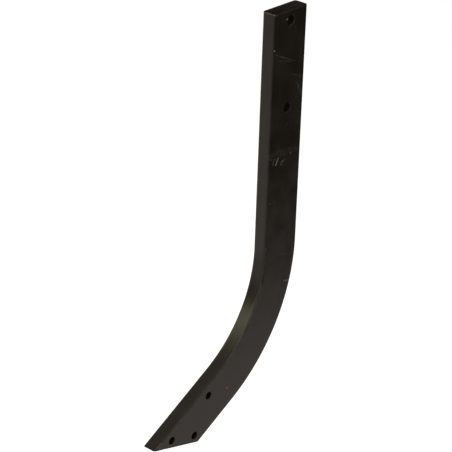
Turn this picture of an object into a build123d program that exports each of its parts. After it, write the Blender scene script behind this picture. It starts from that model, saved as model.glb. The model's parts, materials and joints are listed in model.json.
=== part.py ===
from build123d import *
import math
import os

# Long tine: one flat spring-steel bar, bent edgewise, cut at both ends and drilled.
# Millimetres. The origin is midway between the two shank bolts, on the bar's middle plane.
# The front of the tine faces -Y, its side faces look along +X and -X, and the shank rises along +Z.

# The rolled bar, three inches by one inch, with its long edges rounded in the rolling
bar_width = 76.2
bar_thickness = 25.4
rolled_edge_radius = 4.0

# The bend, measured on the front face, which lies inside it
bend_radius = 210.0
bend_angle = 60.0

# The straight lengths of the front face, above and below the bend
shank_straight = 400.0
leg_straight = 166.0

# The cut ends: the top is square, the foot is sawn at an angle to the leg, and a file breaks their edges
foot_cut_angle = 45.0
top_edge_break = 0.8
foot_edge_break = 0.6

# The two shank bolts, on the bar's centreline
shank_hole_diameter = 16.0
shank_hole_pitch = 144.0
shank_hole_to_top = 17.0

# The point's bolts: a pair beside the foot cut, and one further up the leg
point_hole_diameter = 13.0
point_pair_pitch = 54.0
point_pair_to_cut = 13.0
toe_hole_to_front = 18.0
upper_point_hole_to_front = 18.5
upper_point_hole_to_toe_hole = 96.0

# Every hole has a small chamfer at both mouths
hole_chamfer = 0.5

# Heights of the shank's ends above the origin
top_z = shank_hole_pitch / 2 + shank_hole_to_top
bend_top_z = top_z - shank_straight

# The side view: x runs forwards from the shank's centreline, and y runs up
side_view = Plane(origin=(0, 0, 0), x_dir=(0, -1, 0), z_dir=(-1, 0, 0))
half_width = bar_width / 2
half_thickness = bar_thickness / 2
bend_centre = Vector(half_width + bend_radius, bend_top_z)
centreline_radius = bend_radius + half_width

# Directions along the leg, and across it from its front face to its back face
turn = math.radians(bend_angle)
leg_down = Vector(math.sin(turn), -math.cos(turn))
leg_across = Vector(-math.cos(turn), -math.sin(turn))
leg_front_start = bend_centre + leg_across * bend_radius
toe = leg_front_start + leg_down * leg_straight

# Direction of the foot cut, from the toe back to the heel, and its normal out of the bar
cut_turn = math.radians(foot_cut_angle)
along_cut = leg_across * math.sin(cut_turn) - leg_down * math.cos(cut_turn)
out_of_foot = leg_across * math.cos(cut_turn) + leg_down * math.sin(cut_turn)


def on_side(point):
    """A point of the side view, on the bar's middle plane."""
    return side_view.from_local_coords(point)


def side_direction(direction):
    """A direction of the side view."""
    return on_side(direction) - on_side(Vector(0, 0))


def leg_point(from_toe, from_front):
    """A point on the leg, by its distance up the front face from the toe and back from that face."""
    return toe - leg_down * from_toe + leg_across * from_front


def bent_bar():
    """The rolled section carried along the shank, round the bend and down the leg, past the foot cut."""
    spare_leg = bar_width
    shank_end = Vector(0, bend_top_z)
    leg_start = bend_centre + leg_across * centreline_radius
    leg_end = leg_start + leg_down * (leg_straight + spare_leg)
    shank_line = Line(on_side(Vector(0, top_z)), on_side(shank_end))
    bend_arc = TangentArc(on_side(shank_end), on_side(leg_start), tangent=(0, 0, -1))
    leg_line = Line(on_side(leg_start), on_side(leg_end))
    section_plane = Plane(origin=(0, 0, top_z), x_dir=(1, 0, 0), z_dir=(0, 0, -1))
    section = section_plane * RectangleRounded(bar_thickness, bar_width, rolled_edge_radius)
    return sweep(section, path=Wire([shank_line, bend_arc, leg_line]))


def cut_foot(bar):
    """The foot sawn off along a straight line from the toe to the heel."""
    foot_plane = Plane(origin=on_side(toe), x_dir=(1, 0, 0), z_dir=side_direction(out_of_foot))
    return split(bar, bisect_by=foot_plane, keep=Keep.BOTTOM)


def break_end_edges(bar, outwards, size):
    """A small chamfer round the end face that lies furthest outwards."""
    end_face = bar.faces().sort_by(Axis(origin=(0, 0, 0), direction=outwards))[-1]
    return chamfer(end_face.edges(), size)


def hole_centres():
    """Centres of the shank's holes and of the point's holes, in the side view."""
    shank = [Vector(0, shank_hole_pitch / 2), Vector(0, -shank_hole_pitch / 2)]
    toe_hole_along_cut = (toe_hole_to_front + point_pair_to_cut * math.cos(cut_turn)) / math.sin(cut_turn)
    toe_hole = toe + along_cut * toe_hole_along_cut - out_of_foot * point_pair_to_cut
    heel_hole = toe_hole + along_cut * point_pair_pitch
    toe_hole_up = (toe - toe_hole).dot(leg_down)
    upper_hole = leg_point(toe_hole_up + upper_point_hole_to_toe_hole, upper_point_hole_to_front)
    return shank, [toe_hole, heel_hole, upper_hole]


def drill(bar, centres, diameter):
    """Plain holes straight through the bar's thickness, chamfered at both mouths."""
    radius = diameter / 2
    for centre in centres:
        through = Plane(origin=on_side(centre), z_dir=(1, 0, 0))
        bar -= through * Cylinder(radius, bar_thickness)
        for side in (1, -1):
            mouth = through.offset(side * (half_thickness - hole_chamfer / 2))
            wide = radius + hole_chamfer
            radii = (radius, wide) if side > 0 else (wide, radius)
            bar -= mouth * Cone(*radii, hole_chamfer)
    return bar


tine = cut_foot(bent_bar())
tine = break_end_edges(tine, (0, 0, 1), top_edge_break)
tine = break_end_edges(tine, side_direction(out_of_foot), foot_edge_break)
shank_holes, point_holes = hole_centres()
tine = drill(tine, shank_holes, shank_hole_diameter)
tine = drill(tine, point_holes, point_hole_diameter)

os.makedirs("parts", exist_ok=True)
export_step(tine, "parts/tine.step")

for name, centre in zip(["upper shank", "lower shank", "toe", "heel", "upper point"], shank_holes + point_holes):
    place = on_side(centre)
    print(f"{name} hole: y {place.Y:.3f}, z {place.Z:.3f}")
print(f"toe: y {on_side(toe).Y:.3f}, z {on_side(toe).Z:.3f}")
print(f"volume {tine.volume:.0f} mm3, box {tine.bounding_box()}")
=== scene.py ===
import json
import math
import bpy
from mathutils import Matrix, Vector


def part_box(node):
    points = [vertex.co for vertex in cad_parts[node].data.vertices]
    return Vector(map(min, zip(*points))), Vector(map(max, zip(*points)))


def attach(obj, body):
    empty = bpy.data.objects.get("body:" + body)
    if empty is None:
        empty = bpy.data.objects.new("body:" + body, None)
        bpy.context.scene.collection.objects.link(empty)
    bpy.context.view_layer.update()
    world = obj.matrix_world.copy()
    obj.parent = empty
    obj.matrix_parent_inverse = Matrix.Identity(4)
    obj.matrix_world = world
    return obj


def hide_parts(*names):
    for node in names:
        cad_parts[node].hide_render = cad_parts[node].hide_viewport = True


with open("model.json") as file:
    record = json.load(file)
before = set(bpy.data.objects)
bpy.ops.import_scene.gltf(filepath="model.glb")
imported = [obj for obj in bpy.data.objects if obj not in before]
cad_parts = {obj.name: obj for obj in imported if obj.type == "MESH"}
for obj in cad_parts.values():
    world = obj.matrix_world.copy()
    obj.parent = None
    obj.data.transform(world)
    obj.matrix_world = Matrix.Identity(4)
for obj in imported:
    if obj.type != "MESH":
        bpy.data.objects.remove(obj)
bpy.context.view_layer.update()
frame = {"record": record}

# The rolled bar. It is one length of flat spring steel with rounded rolling edges.
# The top is sawn square. The bar runs straight down the shank, is bent edgewise round a former
# towards the front, and runs on straight down the leg.
cad_low, cad_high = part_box("tine")
half_thickness = cad_high.x
half_width = cad_high.y
top_z = cad_high.z
bar_thickness = 2 * half_thickness
bar_width = 2 * half_width
rolled_edge_radius = 0.0040
rolled_edge_steps = 8
shank_straight = 0.400
bend_radius = 0.210
bend_angle = math.radians(60)
leg_straight = 0.166
foot_cut_angle = math.radians(45)
top_edge_break = 0.0008
mesh_step = 0.0036
same_place = 1e-5
bend_top_z = top_z - shank_straight
bend_axis = Vector((0, -half_width - bend_radius, bend_top_z))
middle_radius = bend_radius + half_width
leg_down = Vector((0, -math.sin(bend_angle), -math.cos(bend_angle)))
leg_back = Vector((0, math.cos(bend_angle), -math.sin(bend_angle)))
toe = bend_axis + leg_back * bend_radius + leg_down * leg_straight


def deselect_all():
    """Leaves no object selected."""
    bpy.ops.object.select_all(action="DESELECT")


def select_edges(piece, wanted):
    """Selects the edges whose two ends pass the test, from edit mode."""
    bpy.ops.mesh.select_all(action="DESELECT")
    bpy.ops.object.mode_set(mode="OBJECT")
    points = piece.data.vertices
    for edge in piece.data.edges:
        edge.select = wanted(*(points[i].co for i in edge.vertices))
    bpy.ops.object.mode_set(mode="EDIT")
    bpy.ops.mesh.select_mode(type="EDGE")


def select_faces(piece, wanted):
    """Selects the faces whose centre and normal pass the test, from edit mode."""
    bpy.ops.mesh.select_all(action="DESELECT")
    bpy.ops.object.mode_set(mode="OBJECT")
    for face in piece.data.polygons:
        face.select = wanted(face.center, face.normal)
    bpy.ops.object.mode_set(mode="EDIT")
    bpy.ops.mesh.select_mode(type="FACE")


deselect_all()
bpy.ops.mesh.primitive_plane_add(size=1, location=(0, 0, top_z))
bar = bpy.context.object
bar.name = "tine_bar"
bar.scale = (bar_thickness, bar_width, 1)
bpy.ops.object.transform_apply(location=True, rotation=True, scale=True)
bpy.ops.object.mode_set(mode="EDIT")
bpy.ops.mesh.bevel(offset=rolled_edge_radius, segments=rolled_edge_steps, affect="VERTICES")
for side_length, lies_along in ((bar_thickness, 0), (bar_width, 1)):
    flat = side_length - 2 * rolled_edge_radius
    select_edges(bar, lambda a, b: abs(abs(a[lies_along] - b[lies_along]) - flat) < same_place)
    bpy.ops.mesh.subdivide(number_cuts=round(flat / mesh_step))

select_faces(bar, lambda centre, normal: True)
shank_steps = round(shank_straight / mesh_step)
bpy.ops.mesh.extrude_repeat(steps=shank_steps, offset=(0, 0, -shank_straight / shank_steps))
select_faces(bar, lambda centre, normal: centre.z < bend_top_z + same_place)
bend_steps = round(bend_angle * middle_radius / mesh_step)
bpy.ops.mesh.spin(steps=bend_steps, angle=bend_angle, center=bend_axis, axis=(1, 0, 0))
leg_end = bend_axis + leg_back * middle_radius
select_faces(bar, lambda centre, normal: (centre - leg_end).dot(leg_down) > -same_place)
heel_straight = leg_straight - bar_width / math.tan(foot_cut_angle)
leg_steps = int(heel_straight / mesh_step) - 1
last_ring = leg_steps * mesh_step
past_toe = leg_straight + mesh_step
bpy.ops.mesh.extrude_repeat(steps=leg_steps, offset=leg_down * mesh_step)
bpy.ops.mesh.extrude_region_move(TRANSFORM_OT_translate={"value": leg_down * (past_toe - last_ring)})


# The foot. It is sawn straight across at an angle to the leg, from the toe back to the heel,
# which leaves a nose for the point that bolts on here. Its edges are just broken with a file.
foot_edge_break = 0.0006
out_of_foot = leg_back * math.cos(foot_cut_angle) + leg_down * math.sin(foot_cut_angle)
foot_steps = round(bar_width / mesh_step)
shortest_run = 0.2 * mesh_step


def in_foot_cut(point, reach=same_place):
    """True for a point on the plane of the foot cut."""
    return abs((point - toe).dot(out_of_foot)) < reach


def in_top_cut(point, reach=same_place):
    """True for a point on the plane of the top end."""
    return top_z - point.z < reach


bpy.ops.mesh.select_all(action="SELECT")
bpy.ops.mesh.bisect(plane_co=toe, plane_no=out_of_foot, use_fill=True, clear_outer=True)
select_edges(bar, lambda a, b: in_foot_cut(a) and in_foot_cut(b))
bpy.ops.mesh.bevel(offset=foot_edge_break, segments=1, affect="EDGES")
select_edges(bar, lambda a, b: in_top_cut(a) and in_top_cut(b))
bpy.ops.mesh.bevel(offset=top_edge_break, segments=2, affect="EDGES")


def crosses_foot(a, b):
    """True for an edge that runs from the leg's last even ring to the foot, and not round the ring."""
    start, end = sorted(((p - leg_end).dot(leg_down) for p in (a, b)))
    return abs(start - last_ring) < same_place and end - start > shortest_run


select_edges(bar, crosses_foot)
bpy.ops.mesh.subdivide(number_cuts=foot_steps)
bpy.ops.mesh.select_all(action="SELECT")
bpy.ops.mesh.normals_make_consistent(inside=False)
bpy.ops.object.mode_set(mode="OBJECT")


# The rolled surface. Hot rolling and the bending press leave the faces a few hundredths of a
# millimetre off flat, and handling has left small dents along the edges and on the sides.
unevenness = (
    # name, length and depth of the waves
    ("long_waves", 0.045, 0.00008),
    ("scale_pits", 0.0100, 0.00003),
)
dent_depth = 0.0006
dents = (
    # along the bar from the top, in from the front face, side, width of the dent
    (0.0136, 0.0288, 1, 0.0026),
    (0.0578, 0.0016, 1, 0.0028),
    (0.1448, 0.0738, 1, 0.0034),
    (0.2400, 0.0016, 1, 0.0024),
    (0.2452, 0.0204, 1, 0.0024),
    (0.3160, 0.0067, 1, 0.0018),
    (0.4660, 0.0736, 1, 0.0038),
    (0.6050, 0.0006, 1, 0.0028),
    (0.6577, 0.0440, 1, 0.0026),
    (0.0880, 0.0735, -1, 0.0034),
    (0.2840, 0.0400, -1, 0.0024),
    (0.4020, 0.0742, -1, 0.0030),
    (0.5400, 0.0010, -1, 0.0034),
    (0.7210, 0.0300, -1, 0.0026),
)
bend_length = bend_angle * middle_radius


def point_on_bar(along, across, x):
    """The place of a point given by its distance along the middle line from the top, and from the front."""
    if along <= shank_straight:
        return Vector((x, across - half_width, top_z - along))
    past = along - shank_straight
    angle = min(past / middle_radius, bend_angle)
    outwards = Vector((0, math.cos(angle), -math.sin(angle)))
    on_arc = bend_axis + outwards * (bend_radius + across)
    return on_arc + leg_down * max(past - bend_length, 0) + Vector((x, 0, 0))


def place_on_bar(point):
    """The distance of a point along the middle line from the top, its distance from the front, and its x."""
    if point.z >= bend_top_z:
        return top_z - point.z, point.y + half_width, point.x
    from_axis = point - bend_axis
    angle = math.atan2(-from_axis.z, from_axis.y)
    if angle <= bend_angle:
        from_front = math.hypot(from_axis.y, from_axis.z) - bend_radius
        return shank_straight + angle * middle_radius, from_front, point.x
    down_leg = from_axis.dot(leg_down)
    return shank_straight + bend_length + down_leg, from_axis.dot(leg_back) - bend_radius, point.x


def cut_away(piece, cutters):
    """Takes the cutters out of the piece, and deletes them."""
    deselect_all()
    for cutter in cutters:
        cutter.select_set(True)
    bpy.context.view_layer.objects.active = cutters[0]
    bpy.ops.object.join()
    tool = bpy.context.object
    bpy.context.view_layer.objects.active = piece
    cut = piece.modifiers.new("cut", "BOOLEAN")
    cut.operation = "DIFFERENCE"
    cut.solver = "EXACT"
    cut.object = tool
    bpy.ops.object.modifier_apply(modifier=cut.name)
    bpy.data.objects.remove(tool)


for name, wave_size, depth in unevenness:
    clouds = bpy.data.textures.new(name, "CLOUDS")
    clouds.noise_scale = wave_size
    displace = bar.modifiers.new(name, "DISPLACE")
    displace.texture = clouds
    displace.texture_coords = "LOCAL"
    displace.mid_level = 1
    displace.strength = depth
    deselect_all()
    bpy.context.view_layer.objects.active = bar
    bpy.ops.object.modifier_apply(modifier=name)

dent_cutters = []
for along, across, side, width in dents:
    deselect_all()
    ball = (width * width / 4 + dent_depth * dent_depth) / (2 * dent_depth)
    centre = point_on_bar(along, across, side * (half_thickness + ball - dent_depth))
    bpy.ops.mesh.primitive_ico_sphere_add(subdivisions=4, radius=ball, location=centre)
    bpy.ops.object.transform_apply(location=True, rotation=True, scale=True)
    dent_cutters.append(bpy.context.object)
cut_away(bar, dent_cutters)


# The bolt holes. Two in the shank take the clamp bolts, a pair beside the foot cut and one further
# up the leg hold the point. All are drilled straight through, with a small chamfer at each mouth.
hole_sides = 48
hole_chamfer = 0.0005
cutter_spare = 0.001
smooth_below = math.radians(25)
mounts = {mount["name"]: mount for mount in frame["record"]["mounts"]}
millimetre = 0.001
shank_bolts = mounts["shank_bolts"]
shank_pitch = shank_bolts["dims"]["spacing_y_mm"] * millimetre
shank_hole_radius = shank_bolts["dims"]["hole_r_mm"] * millimetre
holes = [
    (Vector(shank_bolts["pos_m"]) + Vector((0, 0, end * shank_pitch / 2)), shank_hole_radius)
    for end in (1, -1)
]
for name in ("toe_bolt_hole", "heel_bolt_hole", "leg_bolt_hole"):
    holes.append((Vector(mounts[name]["pos_m"]), mounts[name]["dims"]["r_mm"] * millimetre))

drills = []
for centre, radius in holes:
    deselect_all()
    bpy.ops.mesh.primitive_cylinder_add(
        vertices=hole_sides,
        radius=radius,
        depth=bar_thickness - 2 * hole_chamfer,
        location=centre,
        rotation=(0, math.pi / 2, 0),
    )
    drill = bpy.context.object
    bpy.ops.object.transform_apply(location=True, rotation=True, scale=True)
    bpy.ops.object.mode_set(mode="EDIT")
    flare = hole_chamfer + cutter_spare
    spread = (radius + flare) / radius
    for side in (1, -1):
        select_faces(drill, lambda place, normal: side * normal.x > 0.9)
        bpy.ops.mesh.extrude_region_move(TRANSFORM_OT_translate={"value": (side * flare, 0, 0)})
        bpy.ops.transform.resize(value=(1, spread, spread), center_override=centre)
    bpy.ops.object.mode_set(mode="OBJECT")
    drills.append(drill)
cut_away(bar, drills)

deselect_all()
bar.select_set(True)
bpy.context.view_layer.objects.active = bar
bpy.ops.object.shade_smooth_by_angle(angle=smooth_below)

place = bar.data.attributes.new("bar_place", "FLOAT_VECTOR", "POINT")
for point, entry in zip(bar.data.vertices, place.data):
    entry.vector = place_on_bar(point.co)


# The finish. The steel keeps its dark oiled scale from rolling and hardening, drawn out in faint
# streaks along the bar, thinner on the corners, and scratched where it was stacked and clamped.
def node(tree, kind, links=(), **settings):
    """Adds a node, sets it, and gives its sockets a value or a link each."""
    made = tree.nodes.new("ShaderNode" + kind)
    for setting, value in settings.items():
        setattr(made, setting, value)
    for socket, value in dict(links).items():
        if isinstance(value, bpy.types.NodeSocket):
            tree.links.new(value, made.inputs[socket])
        else:
            made.inputs[socket].default_value = value
    return made


def math_node(tree, operation, *values):
    """The result of one arithmetic step on values or sockets."""
    return node(tree, "Math", enumerate(values), operation=operation).outputs[0]


def vector_node(tree, operation, *values, output="Vector"):
    """The result of one arithmetic step on vectors or sockets."""
    return node(tree, "VectorMath", enumerate(values), operation=operation).outputs[output]


def weighed(tree, first, second, share):
    """Two patterns added up, with a share of the first and the rest of the second."""
    first_part = math_node(tree, "MULTIPLY", first, share)
    return math_node(tree, "ADD", first_part, math_node(tree, "MULTIPLY", second, 1 - share))


def fade(tree, value, start, end, first=0.0, last=1.0):
    """A smooth step of a value, from first at start to last at end."""
    links = {"Value": value, "From Min": start, "From Max": end, "To Min": first, "To Max": last}
    return node(tree, "MapRange", links, interpolation_type="SMOOTHSTEP").outputs["Result"]


def noise(tree, vector, scale, detail=3.0, roughness=0.55):
    """Plain cloud noise at a scale, from 0 to 1."""
    links = {"Vector": vector, "Scale": scale, "Detail": detail, "Roughness": roughness}
    return node(tree, "TexNoise", links).outputs["Fac"]


def stretched(tree, vector, scales):
    """A vector with each of its parts scaled, for a pattern that is drawn out one way."""
    return vector_node(tree, "MULTIPLY", vector, scales)


def blend(tree, mask, first, second):
    """Two colours mixed by a mask."""
    links = {"Factor": mask, "A": first, "B": second}
    return node(tree, "Mix", links, data_type="RGBA").outputs["Result"]


def new_group(name, inputs, outputs):
    """A shader group with named sockets, and its own input and output nodes."""
    group = bpy.data.node_groups.new(name, "ShaderNodeTree")
    for direction, sockets in (("INPUT", inputs), ("OUTPUT", outputs)):
        for socket, form in sockets.items():
            group.interface.new_socket(socket, in_out=direction, socket_type="NodeSocket" + form)
    return group, group.nodes.new("NodeGroupInput").outputs, group.nodes.new("NodeGroupOutput").inputs


def use_group(tree, group, links):
    """Places a group in a tree, with its own values."""
    return node(tree, "Group", links, node_tree=group).outputs


# The line mask made here draws the scratch marks, and also the painted highlight along the front corner.
line_mark_group, given, result = new_group(
    "scratch",
    {"Place": "Vector", "Start": "Vector", "Direction": "Vector", "Length": "Float", "Width": "Float"},
    {"Mask": "Float"},
)
inner = line_mark_group
offset = vector_node(inner, "SUBTRACT", given["Place"], given["Start"])
ahead = vector_node(inner, "DOT_PRODUCT", offset, given["Direction"], output="Value")
reached = math_node(inner, "MINIMUM", math_node(inner, "MAXIMUM", ahead, 0.0), given["Length"])
nearest = node(inner, "VectorMath", {0: given["Direction"], "Scale": reached}, operation="SCALE").outputs[0]
off_line = vector_node(inner, "DISTANCE", offset, nearest, output="Value")
in_widths = math_node(inner, "DIVIDE", off_line, given["Width"])
inner.links.new(fade(inner, in_widths, 0.3, 1.0, 1.0, 0.0), result["Mask"])

patch_stretch = (45.0, 160.0, 160.0)
corner_group, given, result = new_group(
    "corner_wear", {"Place": "Vector", "Reach": "Float", "Patchiness": "Float"}, {"Mask": "Float"}
)
inner = corner_group
parts = node(inner, "SeparateXYZ", {0: given["Place"]}).outputs
from_side = math_node(inner, "SUBTRACT", half_thickness, math_node(inner, "ABSOLUTE", parts[2]))
off_middle = math_node(inner, "ABSOLUTE", math_node(inner, "SUBTRACT", parts[1], half_width))
from_front_or_back = math_node(inner, "SUBTRACT", half_width, off_middle)
from_corner = math_node(inner, "MAXIMUM", from_side, from_front_or_back)
rubbed = fade(inner, math_node(inner, "DIVIDE", from_corner, given["Reach"]), 0.2, 1.0, 1.0, 0.0)
patches = noise(inner, stretched(inner, given["Place"], patch_stretch), 1.0, 4.0)
left_on = math_node(inner, "SUBTRACT", patches, given["Patchiness"])
inner.links.new(math_node(inner, "MULTIPLY", rubbed, fade(inner, left_on, -0.12, 0.12)), result["Mask"])

fine_stretch = (9.0, 420.0, 420.0)
broad_stretch = (3.5, 75.0, 75.0)
cloud_scale = 22.0
grit_scale = 900.0
grain_group, given, result = new_group(
    "rolled_grain",
    {"Place": "Vector", "Object": "Vector"},
    {"Streaks": "Float", "Clouds": "Float", "Height": "Float"},
)
inner = grain_group
fine_streaks = noise(inner, stretched(inner, given["Place"], fine_stretch), 1.0, 4.0)
broad_streaks = noise(inner, stretched(inner, given["Place"], broad_stretch), 1.0, 3.0)
grit = noise(inner, given["Object"], grit_scale, 2.0)
inner.links.new(weighed(inner, fine_streaks, broad_streaks, 0.45), result["Streaks"])
inner.links.new(noise(inner, given["Object"], cloud_scale, 5.0), result["Clouds"])
inner.links.new(weighed(inner, fine_streaks, grit, 0.5), result["Height"])

scale_dark = (0.0062, 0.0048, 0.0023, 1)
scale_light = (0.0110, 0.0090, 0.0052, 1)
rubbed_steel = (0.062, 0.055, 0.041, 1)
bare_steel_and_highlight = (0.42, 0.38, 0.27, 1)
skin_shine = 0.25
skin_roughness = 0.18
cloudy_roughness = 0.05
corner_reach = 0.0022
corner_patchiness = 0.54
corner_wear = 0.35
break_stretch = (260.0, 260.0, 260.0)

# Each line mark has its start and its end, as distances along the bar from the top, in from the front face
# and across the thickness, then its half width, and how much of the scale it took off. Most are scratch marks
# and rubs. The lines along the front corner, round the bend and down the leg, are partly rubbed scale and
# partly a painted highlight, and there the last number is how much the mark lightens the colour.
right, left = half_thickness, -half_thickness
near_right, near_left = 0.92 * right, 0.92 * left
scratches_and_painted_highlights = (
    # the top end's front edge, its right edge and the front corner below it
    ((0.0004, 0.0004, near_left), (0.0004, 0.0004, near_right), 0.0017, 0.36),
    ((0.0006, 0.0030, right), (0.0006, 0.0720, right), 0.0010, 0.03),
    ((0.0030, 0.0006, right), (0.0300, 0.0006, right), 0.0009, 0.09),
    # round the upper shank hole
    ((0.0134, 0.0292, right), (0.0140, 0.0280, right), 0.0018, 0.55),
    ((0.0216, 0.0456, right), (0.0293, 0.0345, right), 0.0009, 0.05),
    ((0.0234, 0.0434, right), (0.0323, 0.0499, right), 0.0009, 0.05),
    # between the shank holes
    ((0.0572, 0.0016, right), (0.0582, 0.0026, right), 0.0013, 0.80),
    ((0.0652, 0.0046, right), (0.0871, 0.0528, right), 0.0010, 0.09),
    ((0.0702, 0.0151, right), (0.0812, 0.0391, right), 0.0009, 0.12),
    ((0.0775, 0.0126, right), (0.0850, 0.0408, right), 0.0010, 0.06),
    ((0.0830, 0.0334, right), (0.0850, 0.0408, right), 0.0010, 0.10),
    ((0.1072, 0.0468, right), (0.1159, 0.0677, right), 0.0009, 0.08),
    ((0.1233, 0.0586, right), (0.1451, 0.0710, right), 0.0045, 0.035),
    ((0.1300, 0.0625, right), (0.1345, 0.0645, right), 0.0016, 0.10),
    ((0.1885, 0.0388, right), (0.1900, 0.0396, right), 0.0014, 0.06),
    # the mark of a clamp, half way down the shank
    ((0.2335, 0.0014, right), (0.2385, 0.0700, right), 0.0090, 0.026),
    ((0.2430, 0.0219, right), (0.2528, 0.0168, right), 0.0016, 0.45),
    ((0.2422, 0.0139, right), (0.2453, 0.0105, right), 0.0015, 0.27),
    ((0.2453, 0.0105, right), (0.2513, 0.0104, right), 0.0015, 0.27),
    ((0.2500, 0.0364, right), (0.2506, 0.0352, right), 0.0019, 0.36),
    ((0.2506, 0.0352, right), (0.2515, 0.0306, right), 0.0015, 0.24),
    ((0.2515, 0.0306, right), (0.2559, 0.0281, right), 0.0015, 0.16),
    ((0.2559, 0.0281, right), (0.2571, 0.0353, right), 0.0013, 0.12),
    ((0.2398, 0.0026, right), (0.2404, 0.0056, right), 0.0014, 0.13),
    ((0.2420, 0.0505, right), (0.2426, 0.0513, right), 0.0020, 0.20),
    # the front corner, round the bend and down the leg: partly rubbed scale, partly a painted highlight along
    # the rounded edge
    ((0.3960, 0.0020, 0.985 * right), (0.4850, 0.0020, 0.985 * right), 0.0026, 0.050),
    ((0.4700, 0.0036, right), (0.6200, 0.0036, right), 0.0032, 0.085),
    ((0.6200, 0.0042, right), (0.8180, 0.0042, right), 0.0034, 0.070),
    ((0.8080, 0.0020, 0.985 * right), (0.8190, 0.0010, 0.97 * right), 0.0026, 0.12),
    # the bend
    ((0.3160, 0.0063, right), (0.3166, 0.0068, right), 0.0014, 0.16),
    ((0.3155, 0.0165, right), (0.3161, 0.0171, right), 0.0014, 0.12),
    ((0.3317, 0.0158, right), (0.3323, 0.0164, right), 0.0018, 0.06),
    ((0.4015, 0.0657, right), (0.4686, 0.0701, right), 0.0009, 0.06),
    ((0.4659, 0.0600, right), (0.4661, 0.0730, right), 0.0028, 0.13),
    ((0.4169, 0.0375, right), (0.4253, 0.0639, right), 0.0008, 0.04),
    # the leg
    ((0.6573, 0.0436, right), (0.6581, 0.0444, right), 0.0014, 0.90),
    # the left side
    ((0.0460, 0.0120, left), (0.0520, 0.0610, left), 0.0009, 0.10),
    ((0.1880, 0.0080, left), (0.2010, 0.0400, left), 0.0009, 0.12),
    ((0.2440, 0.0560, left), (0.2530, 0.0520, left), 0.0012, 0.30),
    ((0.3380, 0.0300, left), (0.3410, 0.0720, left), 0.0009, 0.08),
    ((0.4020, 0.0700, left), (0.4050, 0.0742, left), 0.0014, 0.40),
    ((0.5050, 0.0150, left), (0.5200, 0.0480, left), 0.0009, 0.10),
    ((0.6480, 0.0520, left), (0.6700, 0.0600, left), 0.0030, 0.05),
)


def new_finish(name, shine):
    """A new steel material on the bar. Gives its tree and the coordinates in the object."""
    finish = bpy.data.materials.new(name)
    finish.use_nodes = True
    bar.data.materials.append(finish)
    tree = finish.node_tree
    tree.nodes["Principled BSDF"].inputs["Specular IOR Level"].default_value = shine
    return tree, node(tree, "TexCoord").outputs["Object"]


def dress(tree, colour, roughness, relief, strength, depth):
    """Gives the shader of a finish its colour, its roughness and its bumps."""
    bumps = node(tree, "Bump", {"Strength": strength, "Distance": depth, "Height": relief})
    sockets = tree.nodes["Principled BSDF"].inputs
    tree.links.new(colour, sockets["Base Color"])
    tree.links.new(roughness, sockets["Roughness"])
    tree.links.new(bumps.outputs["Normal"], sockets["Normal"])


tree, in_object = new_finish("oiled_black_scale", skin_shine)
along_bar = node(tree, "Attribute", attribute_name="bar_place").outputs["Vector"]
grain = use_group(tree, grain_group, {"Place": along_bar, "Object": in_object})
tone = weighed(tree, grain["Streaks"], grain["Clouds"], 0.6)
colour = blend(tree, fade(tree, tone, 0.36, 0.64), scale_dark, scale_light)
worn = use_group(tree, corner_group, {
    "Place": along_bar,
    "Reach": corner_reach,
    "Patchiness": corner_patchiness,
})["Mask"]
colour = blend(tree, math_node(tree, "MULTIPLY", worn, corner_wear), colour, rubbed_steel)
breaks = fade(tree, noise(tree, stretched(tree, along_bar, break_stretch), 1.0, 4.0), 0.42, 0.60)
bright = 0.0
for start, end, width, strength in scratches_and_painted_highlights:
    run = Vector(end) - Vector(start)
    mask = use_group(tree, line_mark_group, {
        "Place": along_bar,
        "Start": start,
        "Direction": run.normalized(),
        "Length": run.length,
        "Width": width,
    })["Mask"]
    bright = math_node(tree, "MAXIMUM", bright, math_node(tree, "MULTIPLY", mask, strength))
# The line marks lighten the scale towards bare steel. Along the front corner this lightening is partly a
# painted highlight.
scuffs_and_painted_highlights = math_node(tree, "MULTIPLY", bright, fade(tree, breaks, 0.0, 1.0, 0.35, 1.0))
colour = blend(tree, scuffs_and_painted_highlights, colour, bare_steel_and_highlight)
rougher = math_node(tree, "MULTIPLY", fade(tree, grain["Clouds"], 0.35, 0.65), cloudy_roughness)
roughness = math_node(tree, "ADD", skin_roughness, rougher)
dress(tree, colour, roughness, grain["Height"], strength=0.25, depth=0.0001)


# The sawn ends. The saw leaves fine ridges across the thickness, and the fresh cut has only
# the thin brown-black film of the last heat treatment, so it is duller than the rolled skin.
sawn_dark = (0.0018, 0.0015, 0.0012, 1)
sawn_light = (0.0078, 0.0063, 0.0048, 1)
sawn_shine = 0.03
saw_pitch = 0.0016
ridge_stretch = (60.0, 1.0 / saw_pitch, 1.0 / saw_pitch)
speck_scale = 240.0
tree, in_object = new_finish("sawn_end", sawn_shine)
ridges = noise(tree, stretched(tree, in_object, ridge_stretch), 1.0, 2.0)
specks = noise(tree, in_object, speck_scale, 3.0)
tone = weighed(tree, ridges, specks, 0.4)
colour = blend(tree, fade(tree, tone, 0.43, 0.60), sawn_dark, sawn_light)
dress(tree, colour, fade(tree, tone, 0.35, 0.65, 0.46, 0.62), tone, strength=0.5, depth=0.00015)


# The walls of the drilled holes. They are left as drilled, with fine rings round them, and have
# a reddish brown film of rust and old oil.
wall_dark = (0.0056, 0.0039, 0.0031, 1)
wall_light = (0.0150, 0.0106, 0.0084, 1)
wall_shine = 0.06
ring_stretch = (1500.0, 60.0, 60.0)
rust_scale = 260.0
tree, in_object = new_finish("drilled_wall", wall_shine)
rings = noise(tree, stretched(tree, in_object, ring_stretch), 1.0, 2.0)
rust = noise(tree, in_object, rust_scale, 4.0)
tone = weighed(tree, rings, rust, 0.4)
colour = blend(tree, fade(tree, tone, 0.38, 0.62), wall_dark, wall_light)
dress(tree, colour, fade(tree, tone, 0.35, 0.65, 0.52, 0.68), tone, strength=0.4, depth=0.0001)

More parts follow.
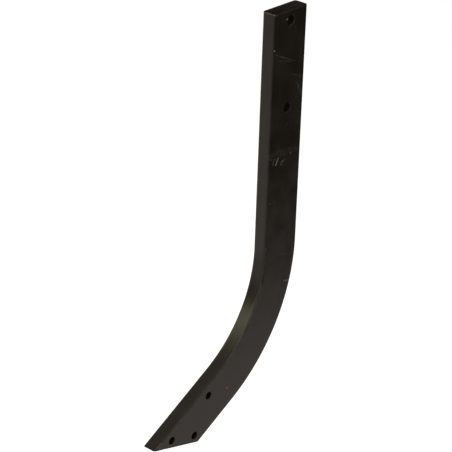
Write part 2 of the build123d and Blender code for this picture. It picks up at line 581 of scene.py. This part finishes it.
cut_reach = 0.0002
wall_reach = 0.0001
wall_end = half_thickness - 0.8 * hole_chamfer
finish_order = ("skin", "sawn", "drilled")
for face in bar.data.polygons:
    finish = "skin"
    if in_top_cut(face.center, cut_reach) or in_foot_cut(face.center, cut_reach):
        finish = "sawn"
    for centre, radius in holes:
        from_axis = math.hypot(face.center.y - centre.y, face.center.z - centre.z)
        if from_axis < radius + wall_reach and abs(face.center.x) < wall_end:
            finish = "drilled"
    face.material_index = finish_order.index(finish)

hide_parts("tine")
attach(bar, "root")


# The place where it is shown. A plain floor lies below the hanging tine, under a soft key light in
# front on the left and a wide soft light above. Camera and transmission rays see white surroundings
# and a floor whose added glow makes it white, while matt surfaces get an even light below white.
floor_z = -0.90
floor_size = 40.0
floor_colour = (0.80, 0.80, 0.79, 1)
floor_glow = 0.45
deselect_all()
bpy.ops.mesh.primitive_plane_add(size=floor_size, location=(0, 0, floor_z))
floor = bpy.context.object
floor.name = "floor"
floor.visible_glossy = False
paper = bpy.data.materials.new("floor_paper")
paper.use_nodes = True
tree = paper.node_tree
tree.nodes.remove(tree.nodes["Principled BSDF"])
seen = node(tree, "LightPath").outputs
shown = math_node(tree, "MAXIMUM", seen["Is Camera Ray"], seen["Is Transmission Ray"])
matt = node(tree, "BsdfDiffuse", {"Color": floor_colour}).outputs[0]
glow = node(tree, "Emission", {"Strength": math_node(tree, "MULTIPLY", shown, floor_glow)}).outputs[0]
both = node(tree, "AddShader", {0: matt, 1: glow}).outputs[0]
tree.links.new(both, tree.nodes["Material Output"].inputs["Surface"])
floor.data.materials.append(paper)

sky_level = 0.60
key_azimuth = math.radians(-40)
window_azimuth = math.radians(20)
right_azimuth = math.radians(60)
# What the steel mirrors, as stops of elevation in degrees and brightness. The room has a far side, away
# from the key light, a right side and a side with the key light, and two bright panels add to them, one
# where the key light stands and one for a window.
far_side = (
    (-90, 1.04), (-33, 1.04), (-31.5, 1.0), (-30, 1.2), (-28.9, 1.2), (-28.1, 0), (-26, 0), (-23.5, 0.08),
    (-17, 0.07), (-8, 0.12), (0, 0.3), (30, 0.3), (60, 0.8), (90, 1.0),
)
right_side = (
    (-90, 1.0), (-27.5, 1.0), (-26, 0.08), (-17.5, 0.04), (-15, 0.50), (-12.5, 1.2), (-4, 1.2), (12, 1.5),
    (25, 1.4), (42, 1.2), (66, 1.0), (90, 0.85),
)
key_side = (
    (-90, 1.0), (-27, 1.22), (-24.5, 1.14), (-22, 1.00), (-20, 0.84), (-19, 0.86), (-13, 1.06), (-8, 1.04),
    (-3, 0.84), (1, 0.45), (6, 0.30), (30, 0.3), (45, 0.40), (52, 0.52), (60, 0.8), (90, 1.0),
)
key_panel = (
    (-90, 0), (9, 0), (13, 0.8), (18, 2.7), (28, 2.7), (32, 2.2), (36, 1.5), (40, 1.0), (45, 0.35), (52, 0.1),
    (60, 0), (90, 0),
)
window_panel = (
    (-90, 0), (-6, 0), (0, 0.6), (12, 0.8), (20, 1.3), (28, 1.8), (40, 2.3), (46, 1.4), (54, 0.2), (60, 0),
    (90, 0),
)
warm_white = (1.0, 0.87, 0.81)
panel_white = (1.0, 0.95, 0.62)
brightest = 3.0
world = bpy.data.worlds.new("surroundings")
bpy.context.scene.world = world
world.use_nodes = True
tree = world.node_tree
tree.nodes.remove(tree.nodes["Background"])


def by_elevation(stops, colour):
    """A ramp of brightness over the height that a direction looks at."""
    holder = node(tree, "ValToRGB", {"Fac": height})
    ramp = holder.color_ramp
    ramp.elements.remove(ramp.elements[1])
    for index, (elevation, level) in enumerate(stops):
        spot = (math.sin(math.radians(elevation)) + 1) / 2
        stop = ramp.elements[0] if index == 0 else ramp.elements.new(spot)
        stop.position = spot
        stop.color = (*(level / brightest * part for part in colour), 1)
    return holder.outputs["Color"]


towards = node(tree, "TexCoord").outputs["Generated"]
height = math_node(tree, "MULTIPLY_ADD", node(tree, "SeparateXYZ", {0: towards}).outputs[2], 0.5, 0.5)
level_part = vector_node(tree, "NORMALIZE", vector_node(tree, "MULTIPLY", towards, (1, 1, 0)))


def facing(azimuth):
    """How far a direction turns towards an azimuth, from -1 to 1."""
    direction = (math.sin(azimuth), -math.cos(azimuth), 0)
    return vector_node(tree, "DOT_PRODUCT", level_part, direction, output="Value")


to_key = facing(key_azimuth)
around = by_elevation(far_side, warm_white)
right_half = fade(tree, facing(right_azimuth), -0.5, -0.1)
to_right = math_node(tree, "MULTIPLY", fade(tree, to_key, -0.997, -0.98), right_half)
for spread, stops in ((to_right, right_side), (fade(tree, to_key, 0.0, 0.25), key_side)):
    around = blend(tree, spread, around, by_elevation(stops, warm_white))
near_key = fade(tree, to_key, 0.45, 0.85)
near_window = fade(tree, facing(window_azimuth), 0.55, 0.90)
reflected = around
for spread, stops in ((near_key, key_panel), (near_window, window_panel)):
    panel = blend(tree, spread, (0, 0, 0, 1), by_elevation(stops, panel_white))
    reflected = vector_node(tree, "ADD", reflected, panel)
seen = node(tree, "LightPath").outputs
shown = math_node(tree, "MAXIMUM", seen["Is Camera Ray"], seen["Is Transmission Ray"])
plain = math_node(tree, "ADD", sky_level, math_node(tree, "MULTIPLY", shown, 1 - sky_level))
plain_light = node(tree, "Background", {"Color": (1, 1, 1, 1), "Strength": plain}).outputs[0]
shine_light = node(tree, "Background", {"Color": reflected, "Strength": brightest}).outputs[0]
lit = node(tree, "MixShader", {0: seen["Is Glossy Ray"], 1: plain_light, 2: shine_light}).outputs[0]
tree.links.new(lit, tree.nodes["World Output"].inputs["Surface"])


def soft_light(name, azimuth, elevation, distance, size, power):
    """A square area lamp that looks at the middle of the tine, and that the steel doesn't mirror."""
    lamp = bpy.data.lights.new(name, "AREA")
    lamp.size = size
    lamp.energy = power
    holder = bpy.data.objects.new(name, lamp)
    bpy.context.scene.collection.objects.link(holder)
    flat = math.cos(elevation)
    away = Vector((math.sin(azimuth) * flat, -math.cos(azimuth) * flat, math.sin(elevation)))
    holder.location = (Vector(cad_low) + Vector(cad_high)) / 2 + away * distance
    holder.rotation_euler = away.to_track_quat("Z", "Y").to_euler()
    holder.visible_glossy = False


soft_light("key_light", key_azimuth, math.radians(35), distance=2.4, size=1.2, power=14.0)
soft_light("top_light", 0.0, math.radians(90), distance=2.4, size=2.0, power=24.0)

camera_place = (1.72062, -2.04416, 1.03995)
camera_turn = (63.5989, -1.6155, 42.6018)
camera_lens = 147.427
camera_data = bpy.data.cameras.new("camera")
camera_data.lens = camera_lens
camera = bpy.data.objects.new("camera", camera_data)
camera.location = camera_place
camera.rotation_euler = [math.radians(turn) for turn in camera_turn]
bpy.context.scene.collection.objects.link(camera)
bpy.context.scene.camera = camera
bpy.context.scene.view_settings.view_transform = "Standard"
